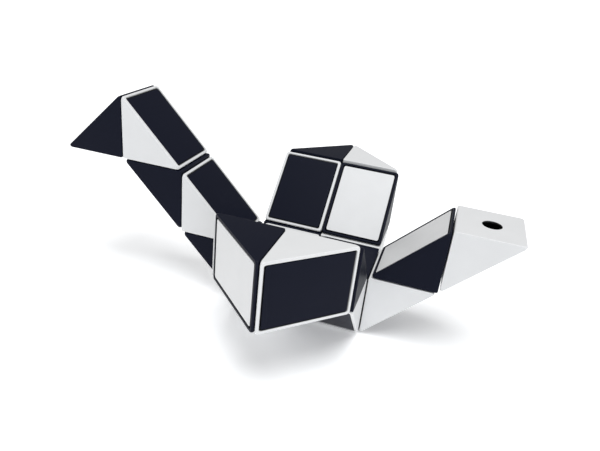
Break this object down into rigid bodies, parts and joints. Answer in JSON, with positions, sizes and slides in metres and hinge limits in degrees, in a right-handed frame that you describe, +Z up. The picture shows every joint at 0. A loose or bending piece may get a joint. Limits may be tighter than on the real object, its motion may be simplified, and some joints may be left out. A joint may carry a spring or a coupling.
{
  "type": "twisty snake puzzle",
  "caption": "Folding snake puzzle of alternating dark and pale triangular wedges that twist on spring-loaded joints, with contrasting cover plates on the sloping faces.",
  "frame": {"origin": "centre of the bounding box's footprint, on the surface that the folded snake rests on", "axes": "+X along the two raised arms, from the dark end wedge to the pale end wedge with the open hole; +Y from the low front point to the low back point; +Z up"},
  "size_m": [0.1314, 0.0934, 0.056],
  "materials": {
    "dark_plastic": "smooth satin moulded plastic, very dark blue-black",
    "pale_plastic": "smooth satin moulded plastic, slightly cool white",
    "spring_steel": "plain zinc-plated steel"
  },
  "bodies": {
    "wedge_01": {"wedge_01_shell": "dark_plastic", "wedge_01_cover": "pale_plastic"},
    "wedge_02": {"wedge_02_shell": "pale_plastic", "wedge_02_cover": "dark_plastic", "wedge_02_spring_bolts": "spring_steel"},
    "wedge_03": {"wedge_03_shell": "dark_plastic", "wedge_03_cover": "pale_plastic"},
    "wedge_04": {"wedge_04_shell": "pale_plastic", "wedge_04_cover": "dark_plastic", "wedge_04_spring_bolts": "spring_steel"},
    "wedge_05": {"wedge_05_shell": "dark_plastic", "wedge_05_cover": "pale_plastic"},
    "wedge_06": {"wedge_06_shell": "pale_plastic", "wedge_06_cover": "dark_plastic", "wedge_06_spring_bolts": "spring_steel"},
    "wedge_07": {"wedge_07_shell": "dark_plastic", "wedge_07_cover": "pale_plastic"},
    "wedge_08": {"wedge_08_shell": "pale_plastic", "wedge_08_cover": "dark_plastic", "wedge_08_spring_bolts": "spring_steel"},
    "wedge_09": {"wedge_09_shell": "dark_plastic", "wedge_09_cover": "pale_plastic"},
    "wedge_10": {"wedge_10_shell": "pale_plastic", "wedge_10_cover": "dark_plastic", "wedge_10_spring_bolts": "spring_steel"},
    "wedge_11": {"wedge_11_shell": "dark_plastic", "wedge_11_cover": "pale_plastic"},
    "wedge_12": {"wedge_12_shell": "pale_plastic", "wedge_12_cover": "dark_plastic", "wedge_12_spring_bolts": "spring_steel"},
    "wedge_13": {"wedge_13_shell": "dark_plastic", "wedge_13_cover": "pale_plastic"},
    "wedge_14": {"wedge_14_shell": "pale_plastic", "wedge_14_cover": "dark_plastic", "wedge_14_spring_bolts": "spring_steel"},
    "wedge_15": {"wedge_15_shell": "dark_plastic", "wedge_15_cover": "pale_plastic"},
    "wedge_16": {"wedge_16_shell": "pale_plastic", "wedge_16_cover": "dark_plastic", "wedge_16_spring_bolts": "spring_steel"},
    "wedge_17": {"wedge_17_shell": "dark_plastic", "wedge_17_cover": "pale_plastic"},
    "wedge_18": {"wedge_18_shell": "pale_plastic", "wedge_18_cover": "dark_plastic", "wedge_18_spring_bolts": "spring_steel"},
    "wedge_19": {"wedge_19_shell": "dark_plastic", "wedge_19_cover": "pale_plastic"},
    "wedge_20": {"wedge_20_shell": "pale_plastic", "wedge_20_cover": "dark_plastic", "wedge_20_spring_bolts": "spring_steel"},
    "wedge_21": {"wedge_21_shell": "dark_plastic", "wedge_21_cover": "pale_plastic"},
    "wedge_22": {"wedge_22_shell": "pale_plastic", "wedge_22_cover": "dark_plastic", "wedge_22_spring_bolts": "spring_steel"},
    "wedge_23": {"wedge_23_shell": "dark_plastic", "wedge_23_cover": "pale_plastic"},
    "wedge_24": {"wedge_24_shell": "pale_plastic", "wedge_24_cover": "dark_plastic", "wedge_24_spring_bolts": "spring_steel"}
  },
  "joints": [
    {"name": "twist_14_15", "type": "hinge", "parent": "wedge_14", "child": "wedge_15", "pos_m": [0, 0.0095, 0.00935], "axis": [0, 1, 0], "range_deg": [-2, 2]},
    {"name": "twist_15_16", "type": "hinge", "parent": "wedge_15", "child": "wedge_16", "pos_m": [0, 0.019, 0.01885], "axis": [0, 0, 1], "range_deg": [-0.3, 2]},
    {"name": "twist_16_17", "type": "hinge", "parent": "wedge_16", "child": "wedge_17", "pos_m": [0, 0.0285, 0.02835], "axis": [0, 1, 0], "range_deg": [-2, 0.5]},
    {"name": "twist_17_18", "type": "hinge", "parent": "wedge_17", "child": "wedge_18", "pos_m": [0.0095, 0.038, 0.02835], "axis": [1, 0, 0], "range_deg": [0, 270]},
    {"name": "twist_18_19", "type": "hinge", "parent": "wedge_18", "child": "wedge_19", "pos_m": [0.019, 0.0285, 0.02835], "axis": [0, -1, 0], "range_deg": [-0.5, 2]},
    {"name": "twist_19_20", "type": "hinge", "parent": "wedge_19", "child": "wedge_20", "pos_m": [0.019, 0.019, 0.01885], "axis": [0, 0, -1], "range_deg": [-2, 0.5]},
    {"name": "twist_20_21", "type": "hinge", "parent": "wedge_20", "child": "wedge_21", "pos_m": [0.019, 0.0095, 0.00935], "axis": [0, -1, 0], "range_deg": [-2, 2]},
    {"name": "twist_21_22", "type": "hinge", "parent": "wedge_21", "child": "wedge_22", "pos_m": [0.0285, 0, 0.00935], "axis": [1, 0, 0], "continuous": true},
    {"name": "twist_22_23", "type": "hinge", "parent": "wedge_22", "child": "wedge_23", "pos_m": [0.038, 0, 0.01885], "axis": [0, 0, 1], "continuous": true},
    {"name": "twist_23_24", "type": "hinge", "parent": "wedge_23", "child": "wedge_24", "pos_m": [0.0475, 0, 0.02835], "axis": [1, 0, 0], "continuous": true},
    {"name": "twist_13_14", "type": "hinge", "parent": "wedge_14", "child": "wedge_13", "pos_m": [0.0095, 0, 0.00935], "axis": [1, 0, 0], "range_deg": [-2, 2]},
    {"name": "twist_12_13", "type": "hinge", "parent": "wedge_13", "child": "wedge_12", "pos_m": [0.019, -0.0095, 0.00935], "axis": [0, -1, 0], "range_deg": [-2, 2]},
    {"name": "twist_11_12", "type": "hinge", "parent": "wedge_12", "child": "wedge_11", "pos_m": [0.019, -0.019, 0.01885], "axis": [0, 0, 1], "range_deg": [-0.3, 2]},
    {"name": "twist_10_11", "type": "hinge", "parent": "wedge_11", "child": "wedge_10", "pos_m": [0.019, -0.0285, 0.02835], "axis": [0, -1, 0], "range_deg": [-2, 0.5]},
    {"name": "twist_09_10", "type": "hinge", "parent": "wedge_10", "child": "wedge_09", "pos_m": [0.0095, -0.038, 0.02835], "axis": [-1, 0, 0], "range_deg": [0, 270]},
    {"name": "twist_08_09", "type": "hinge", "parent": "wedge_09", "child": "wedge_08", "pos_m": [0, -0.0285, 0.02835], "axis": [0, 1, 0], "range_deg": [-0.5, 2]},
    {"name": "twist_07_08", "type": "hinge", "parent": "wedge_08", "child": "wedge_07", "pos_m": [0, -0.019, 0.01885], "axis": [0, 0, -1], "range_deg": [-2, 0.5]},
    {"name": "twist_06_07", "type": "hinge", "parent": "wedge_07", "child": "wedge_06", "pos_m": [0, -0.0095, 0.00935], "axis": [0, 1, 0], "range_deg": [-2, 2]},
    {"name": "twist_05_06", "type": "hinge", "parent": "wedge_06", "child": "wedge_05", "pos_m": [-0.0095, 0, 0.00935], "axis": [-1, 0, 0], "continuous": true},
    {"name": "twist_04_05", "type": "hinge", "parent": "wedge_05", "child": "wedge_04", "pos_m": [-0.019, 0, 0.01885], "axis": [0, 0, 1], "continuous": true},
    {"name": "twist_03_04", "type": "hinge", "parent": "wedge_04", "child": "wedge_03", "pos_m": [-0.0285, 0, 0.02835], "axis": [-1, 0, 0], "range_deg": [-270, 90]},
    {"name": "twist_02_03", "type": "hinge", "parent": "wedge_03", "child": "wedge_02", "pos_m": [-0.038, 0, 0.03785], "axis": [0, 0, 1], "continuous": true},
    {"name": "twist_01_02", "type": "hinge", "parent": "wedge_02", "child": "wedge_01", "pos_m": [-0.0475, 0, 0.04735], "axis": [-1, 0, 0], "continuous": true}
  ]
}
